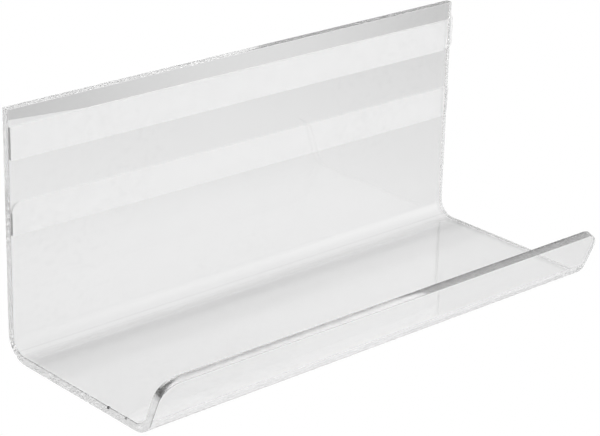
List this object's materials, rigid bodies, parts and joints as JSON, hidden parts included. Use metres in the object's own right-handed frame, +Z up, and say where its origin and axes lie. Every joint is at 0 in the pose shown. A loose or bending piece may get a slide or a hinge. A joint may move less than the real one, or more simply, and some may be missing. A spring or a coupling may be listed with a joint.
{
  "type": "magazine rack",
  "caption": "Clear acrylic wall ledge for magazines, bent from sheet into a tall back panel, level shelf and sloping front lip, with foam mounting tape and liners behind the panel.",
  "frame": {"origin": "on the underside of the level shelf, midway along the acrylic sheet and midway between its front and back", "axes": "+X along the ledge to the right of someone facing it, +Y towards the wall, +Z up"},
  "size_m": [0.3131, 0.1275, 0.1333],
  "materials": {
    "clear_acrylic": "polished",
    "white_foam": "matte",
    "release_paper": "satin"
  },
  "bodies": {
    "root": {"acrylic_rack": "clear_acrylic", "upper_foam_tape": "white_foam", "lower_foam_tape": "white_foam", "upper_release_liner": "release_paper", "lower_release_liner": "release_paper"}
  },
  "joints": []
}
